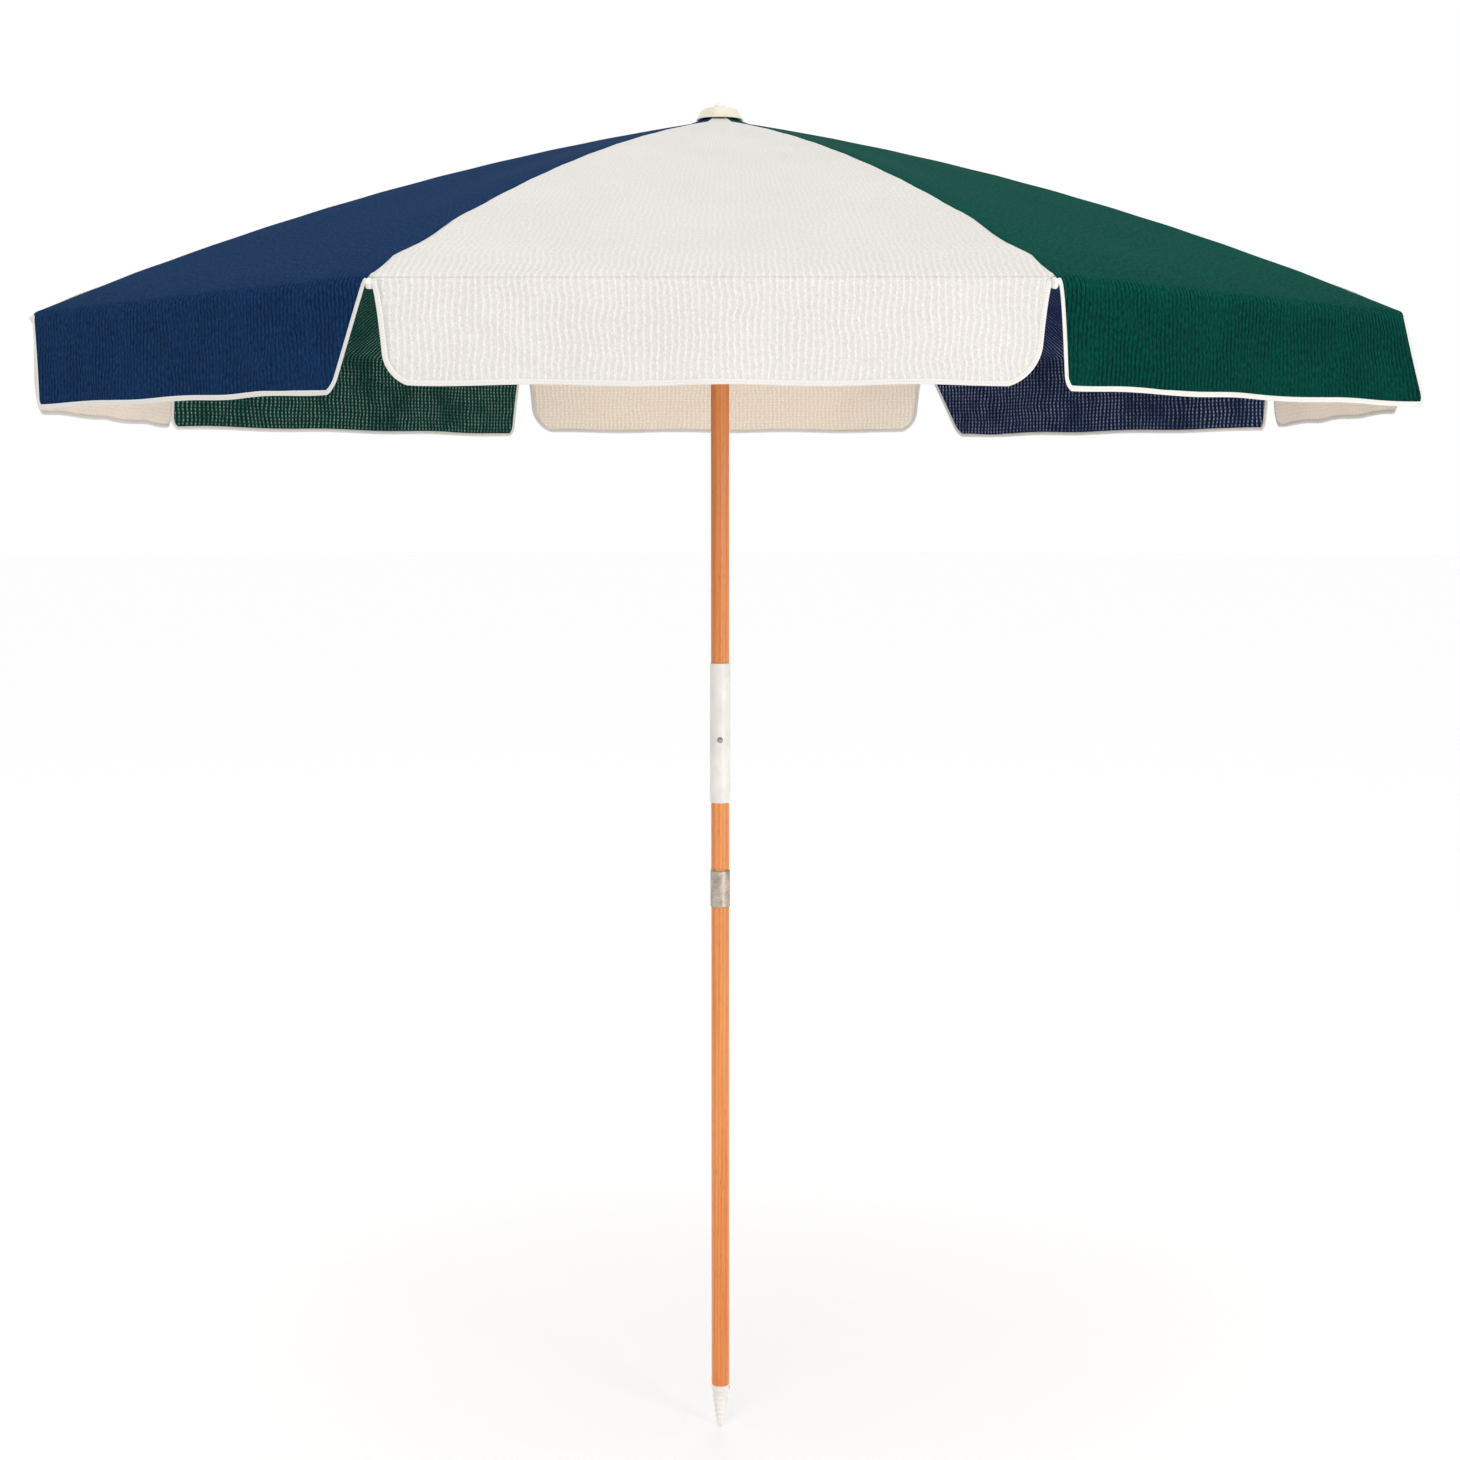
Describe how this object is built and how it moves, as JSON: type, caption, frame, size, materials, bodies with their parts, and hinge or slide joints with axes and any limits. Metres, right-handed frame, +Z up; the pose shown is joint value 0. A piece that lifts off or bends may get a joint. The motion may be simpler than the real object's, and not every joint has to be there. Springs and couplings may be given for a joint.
{
  "type": "beach umbrella",
  "caption": "Beach umbrella with a panelled cloth canopy and hanging flaps on folding steel ribs, a wooden pole with a tilt joint under a sleeve, a metal ferrule and a ground spike.",
  "frame": {"origin": "on the pole's axis at the lower end of the wooden pole, where the ground spike begins", "axes": "+Z up along the pole; -Y towards the front panel; +X to the right seen from the front, the side the canopy tilts to"},
  "size_m": [2.0852, 2.0852, 2.3099],
  "materials": {
    "wood": "satin varnish",
    "steel": "galvanised",
    "frame_steel": "drawn wire",
    "white_plastic": "satin",
    "cream_plastic": "satin",
    "cream_cloth": "ribbed weave",
    "green_cloth": "ribbed weave",
    "navy_cloth": "ribbed weave"
  },
  "bodies": {
    "lower_pole_body": {"ground_spike": "white_plastic", "spike_nail": "steel", "lower_pole": "wood", "ferrule": "steel", "ferrule_pins": "steel"},
    "middle_pole_body": {"middle_pole": "wood", "tilt_fork": "steel", "tilt_pin": "steel"},
    "sleeve_body": {"tilt_sleeve": "white_plastic", "sleeve_screw": "steel"},
    "upper_pole_body": {"upper_pole": "wood", "tilt_tongue": "steel", "crown": "white_plastic", "crown_pins": "steel", "crown_nail": "steel", "runner_catch": "steel", "apex_patch": "cream_cloth", "finial_cap": "cream_plastic", "finial_knob": "white_plastic"},
    "runner_body": {"runner": "white_plastic"},
    "rib_1_body": {"rib_1": "frame_steel"},
    "stretcher_1_body": {"stretcher_1": "frame_steel"},
    "panel_1_body": {"panel_1": "cream_cloth"},
    "flap_1_body": {"flap_1": "cream_cloth"},
    "rib_2_body": {"rib_2": "frame_steel"},
    "stretcher_2_body": {"stretcher_2": "frame_steel"},
    "panel_2_body": {"panel_2": "green_cloth"},
    "flap_2_body": {"flap_2": "green_cloth"},
    "rib_3_body": {"rib_3": "frame_steel"},
    "stretcher_3_body": {"stretcher_3": "frame_steel"},
    "panel_3_body": {"panel_3": "cream_cloth"},
    "flap_3_body": {"flap_3": "cream_cloth"},
    "rib_4_body": {"rib_4": "frame_steel"},
    "stretcher_4_body": {"stretcher_4": "frame_steel"},
    "panel_4_body": {"panel_4": "navy_cloth"},
    "flap_4_body": {"flap_4": "navy_cloth"},
    "rib_5_body": {"rib_5": "frame_steel"},
    "stretcher_5_body": {"stretcher_5": "frame_steel"},
    "panel_5_body": {"panel_5": "cream_cloth"},
    "flap_5_body": {"flap_5": "cream_cloth"},
    "rib_6_body": {"rib_6": "frame_steel"},
    "stretcher_6_body": {"stretcher_6": "frame_steel"},
    "panel_6_body": {"panel_6": "green_cloth"},
    "flap_6_body": {"flap_6": "green_cloth"},
    "rib_7_body": {"rib_7": "frame_steel"},
    "stretcher_7_body": {"stretcher_7": "frame_steel"},
    "panel_7_body": {"panel_7": "cream_cloth"},
    "flap_7_body": {"flap_7": "cream_cloth"},
    "rib_8_body": {"rib_8": "frame_steel"},
    "stretcher_8_body": {"stretcher_8": "frame_steel"},
    "panel_8_body": {"panel_8": "navy_cloth"},
    "flap_8_body": {"flap_8": "navy_cloth"}
  },
  "joints": [
    {"name": "pole_separation", "type": "slide", "parent": "lower_pole_body", "child": "middle_pole_body", "axis": [0, 0, 1], "range_m": [0, 0.06]},
    {"name": "tilt", "type": "hinge", "parent": "middle_pole_body", "child": "upper_pole_body", "pos_m": [0, 0, 1.065], "axis": [0, 1, 0], "range_deg": [0, 35]},
    {"name": "sleeve_slide", "type": "slide", "parent": "upper_pole_body", "child": "sleeve_body", "axis": [0, 0, 1], "range_m": [0, 0.0918]},
    {"name": "runner_slide", "type": "slide", "parent": "upper_pole_body", "child": "runner_body", "axis": [0, 0, -1], "range_m": [0, 0.5746], "deforming": ["runner_catch"]},
    {"name": "rib_1_hinge", "type": "hinge", "parent": "upper_pole_body", "child": "rib_1_body", "pos_m": [-0.00918, -0.02217, 2.19138], "axis": [0.9239, -0.3827, 0], "range_deg": [0, 70.12]},
    {"name": "stretcher_1_hinge", "type": "hinge", "parent": "rib_1_body", "child": "stretcher_1_body", "pos_m": [-0.15187, -0.36665, 2.09546], "axis": [0.9239, -0.3827, 0], "range_deg": [-140.25, 0]},
    {"name": "panel_1_hinge", "type": "hinge", "parent": "upper_pole_body", "child": "panel_1_body", "pos_m": [0, -0.024, 2.19138], "axis": [1, 0, 0], "range_deg": [0, 67.93], "deforming": ["panel_1"]},
    {"name": "flap_1_hinge", "type": "hinge", "parent": "panel_1_body", "child": "flap_1_body", "pos_m": [0, -1.03876, 1.8488], "axis": [1, 0, 0], "range_deg": [-67.93, 0], "deforming": ["flap_1"]},
    {"name": "rib_2_hinge", "type": "hinge", "parent": "upper_pole_body", "child": "rib_2_body", "pos_m": [0.00918, -0.02217, 2.19138], "axis": [0.9239, 0.3827, 0], "range_deg": [0, 70.12]},
    {"name": "stretcher_2_hinge", "type": "hinge", "parent": "rib_2_body", "child": "stretcher_2_body", "pos_m": [0.15187, -0.36665, 2.09546], "axis": [0.9239, 0.3827, 0], "range_deg": [-140.25, 0]},
    {"name": "panel_2_hinge", "type": "hinge", "parent": "upper_pole_body", "child": "panel_2_body", "pos_m": [0.01697, -0.01697, 2.19138], "axis": [0.7071, 0.7071, 0], "range_deg": [0, 67.93], "deforming": ["panel_2"]},
    {"name": "flap_2_hinge", "type": "hinge", "parent": "panel_2_body", "child": "flap_2_body", "pos_m": [0.73452, -0.73452, 1.8488], "axis": [0.7071, 0.7071, 0], "range_deg": [-67.93, 0], "deforming": ["flap_2"]},
    {"name": "rib_3_hinge", "type": "hinge", "parent": "upper_pole_body", "child": "rib_3_body", "pos_m": [0.02217, -0.00918, 2.19138], "axis": [0.3827, 0.9239, 0], "range_deg": [0, 70.12]},
    {"name": "stretcher_3_hinge", "type": "hinge", "parent": "rib_3_body", "child": "stretcher_3_body", "pos_m": [0.36665, -0.15187, 2.09546], "axis": [0.3827, 0.9239, 0], "range_deg": [-140.25, 0]},
    {"name": "panel_3_hinge", "type": "hinge", "parent": "upper_pole_body", "child": "panel_3_body", "pos_m": [0.024, 0, 2.19138], "axis": [0, 1, 0], "range_deg": [0, 67.93], "deforming": ["panel_3"]},
    {"name": "flap_3_hinge", "type": "hinge", "parent": "panel_3_body", "child": "flap_3_body", "pos_m": [1.03876, 0, 1.8488], "axis": [0, 1, 0], "range_deg": [-67.93, 0], "deforming": ["flap_3"]},
    {"name": "rib_4_hinge", "type": "hinge", "parent": "upper_pole_body", "child": "rib_4_body", "pos_m": [0.02217, 0.00918, 2.19138], "axis": [-0.3827, 0.9239, 0], "range_deg": [0, 70.12]},
    {"name": "stretcher_4_hinge", "type": "hinge", "parent": "rib_4_body", "child": "stretcher_4_body", "pos_m": [0.36665, 0.15187, 2.09546], "axis": [-0.3827, 0.9239, 0], "range_deg": [-140.25, 0]},
    {"name": "panel_4_hinge", "type": "hinge", "parent": "upper_pole_body", "child": "panel_4_body", "pos_m": [0.01697, 0.01697, 2.19138], "axis": [-0.7071, 0.7071, 0], "range_deg": [0, 67.93], "deforming": ["panel_4"]},
    {"name": "flap_4_hinge", "type": "hinge", "parent": "panel_4_body", "child": "flap_4_body", "pos_m": [0.73452, 0.73452, 1.8488], "axis": [-0.7071, 0.7071, 0], "range_deg": [-67.93, 0], "deforming": ["flap_4"]},
    {"name": "rib_5_hinge", "type": "hinge", "parent": "upper_pole_body", "child": "rib_5_body", "pos_m": [0.00918, 0.02217, 2.19138], "axis": [-0.9239, 0.3827, 0], "range_deg": [0, 70.12]},
    {"name": "stretcher_5_hinge", "type": "hinge", "parent": "rib_5_body", "child": "stretcher_5_body", "pos_m": [0.15187, 0.36665, 2.09546], "axis": [-0.9239, 0.3827, 0], "range_deg": [-140.25, 0]},
    {"name": "panel_5_hinge", "type": "hinge", "parent": "upper_pole_body", "child": "panel_5_body", "pos_m": [0, 0.024, 2.19138], "axis": [-1, 0, 0], "range_deg": [0, 67.93], "deforming": ["panel_5"]},
    {"name": "flap_5_hinge", "type": "hinge", "parent": "panel_5_body", "child": "flap_5_body", "pos_m": [0, 1.03876, 1.8488], "axis": [-1, 0, 0], "range_deg": [-67.93, 0], "deforming": ["flap_5"]},
    {"name": "rib_6_hinge", "type": "hinge", "parent": "upper_pole_body", "child": "rib_6_body", "pos_m": [-0.00918, 0.02217, 2.19138], "axis": [-0.9239, -0.3827, 0], "range_deg": [0, 70.12]},
    {"name": "stretcher_6_hinge", "type": "hinge", "parent": "rib_6_body", "child": "stretcher_6_body", "pos_m": [-0.15187, 0.36665, 2.09546], "axis": [-0.9239, -0.3827, 0], "range_deg": [-140.25, 0]},
    {"name": "panel_6_hinge", "type": "hinge", "parent": "upper_pole_body", "child": "panel_6_body", "pos_m": [-0.01697, 0.01697, 2.19138], "axis": [-0.7071, -0.7071, 0], "range_deg": [0, 67.93], "deforming": ["panel_6"]},
    {"name": "flap_6_hinge", "type": "hinge", "parent": "panel_6_body", "child": "flap_6_body", "pos_m": [-0.73452, 0.73452, 1.8488], "axis": [-0.7071, -0.7071, 0], "range_deg": [-67.93, 0], "deforming": ["flap_6"]},
    {"name": "rib_7_hinge", "type": "hinge", "parent": "upper_pole_body", "child": "rib_7_body", "pos_m": [-0.02217, 0.00918, 2.19138], "axis": [-0.3827, -0.9239, 0], "range_deg": [0, 70.12]},
    {"name": "stretcher_7_hinge", "type": "hinge", "parent": "rib_7_body", "child": "stretcher_7_body", "pos_m": [-0.36665, 0.15187, 2.09546], "axis": [-0.3827, -0.9239, 0], "range_deg": [-140.25, 0]},
    {"name": "panel_7_hinge", "type": "hinge", "parent": "upper_pole_body", "child": "panel_7_body", "pos_m": [-0.024, 0, 2.19138], "axis": [0, -1, 0], "range_deg": [0, 67.93], "deforming": ["panel_7"]},
    {"name": "flap_7_hinge", "type": "hinge", "parent": "panel_7_body", "child": "flap_7_body", "pos_m": [-1.03876, 0, 1.8488], "axis": [0, -1, 0], "range_deg": [-67.93, 0], "deforming": ["flap_7"]},
    {"name": "rib_8_hinge", "type": "hinge", "parent": "upper_pole_body", "child": "rib_8_body", "pos_m": [-0.02217, -0.00918, 2.19138], "axis": [0.3827, -0.9239, 0], "range_deg": [0, 70.12]},
    {"name": "stretcher_8_hinge", "type": "hinge", "parent": "rib_8_body", "child": "stretcher_8_body", "pos_m": [-0.36665, -0.15187, 2.09546], "axis": [0.3827, -0.9239, 0], "range_deg": [-140.25, 0]},
    {"name": "panel_8_hinge", "type": "hinge", "parent": "upper_pole_body", "child": "panel_8_body", "pos_m": [-0.01697, -0.01697, 2.19138], "axis": [0.7071, -0.7071, 0], "range_deg": [0, 67.93], "deforming": ["panel_8"]},
    {"name": "flap_8_hinge", "type": "hinge", "parent": "panel_8_body", "child": "flap_8_body", "pos_m": [-0.73452, -0.73452, 1.8488], "axis": [0.7071, -0.7071, 0], "range_deg": [-67.93, 0], "deforming": ["flap_8"]}
  ],
  "couplings": [
    {"joint": "sleeve_slide", "follows": "tilt", "m_per_rad": 0.15},
    {"joint": "rib_1_hinge", "follows": "runner_slide", "rad_per_m": 2.1284},
    {"joint": "stretcher_1_hinge", "follows": "runner_slide", "rad_per_m": -4.2569},
    {"joint": "panel_1_hinge", "follows": "runner_slide", "rad_per_m": 2.062},
    {"joint": "flap_1_hinge", "follows": "runner_slide", "rad_per_m": -2.062},
    {"joint": "rib_2_hinge", "follows": "runner_slide", "rad_per_m": 2.1284},
    {"joint": "stretcher_2_hinge", "follows": "runner_slide", "rad_per_m": -4.2569},
    {"joint": "panel_2_hinge", "follows": "runner_slide", "rad_per_m": 2.062},
    {"joint": "flap_2_hinge", "follows": "runner_slide", "rad_per_m": -2.062},
    {"joint": "rib_3_hinge", "follows": "runner_slide", "rad_per_m": 2.1284},
    {"joint": "stretcher_3_hinge", "follows": "runner_slide", "rad_per_m": -4.2569},
    {"joint": "panel_3_hinge", "follows": "runner_slide", "rad_per_m": 2.062},
    {"joint": "flap_3_hinge", "follows": "runner_slide", "rad_per_m": -2.062},
    {"joint": "rib_4_hinge", "follows": "runner_slide", "rad_per_m": 2.1284},
    {"joint": "stretcher_4_hinge", "follows": "runner_slide", "rad_per_m": -4.2569},
    {"joint": "panel_4_hinge", "follows": "runner_slide", "rad_per_m": 2.062},
    {"joint": "flap_4_hinge", "follows": "runner_slide", "rad_per_m": -2.062},
    {"joint": "rib_5_hinge", "follows": "runner_slide", "rad_per_m": 2.1284},
    {"joint": "stretcher_5_hinge", "follows": "runner_slide", "rad_per_m": -4.2569},
    {"joint": "panel_5_hinge", "follows": "runner_slide", "rad_per_m": 2.062},
    {"joint": "flap_5_hinge", "follows": "runner_slide", "rad_per_m": -2.062},
    {"joint": "rib_6_hinge", "follows": "runner_slide", "rad_per_m": 2.1284},
    {"joint": "stretcher_6_hinge", "follows": "runner_slide", "rad_per_m": -4.2569},
    {"joint": "panel_6_hinge", "follows": "runner_slide", "rad_per_m": 2.062},
    {"joint": "flap_6_hinge", "follows": "runner_slide", "rad_per_m": -2.062},
    {"joint": "rib_7_hinge", "follows": "runner_slide", "rad_per_m": 2.1284},
    {"joint": "stretcher_7_hinge", "follows": "runner_slide", "rad_per_m": -4.2569},
    {"joint": "panel_7_hinge", "follows": "runner_slide", "rad_per_m": 2.062},
    {"joint": "flap_7_hinge", "follows": "runner_slide", "rad_per_m": -2.062},
    {"joint": "rib_8_hinge", "follows": "runner_slide", "rad_per_m": 2.1284},
    {"joint": "stretcher_8_hinge", "follows": "runner_slide", "rad_per_m": -4.2569},
    {"joint": "panel_8_hinge", "follows": "runner_slide", "rad_per_m": 2.062},
    {"joint": "flap_8_hinge", "follows": "runner_slide", "rad_per_m": -2.062}
  ]
}
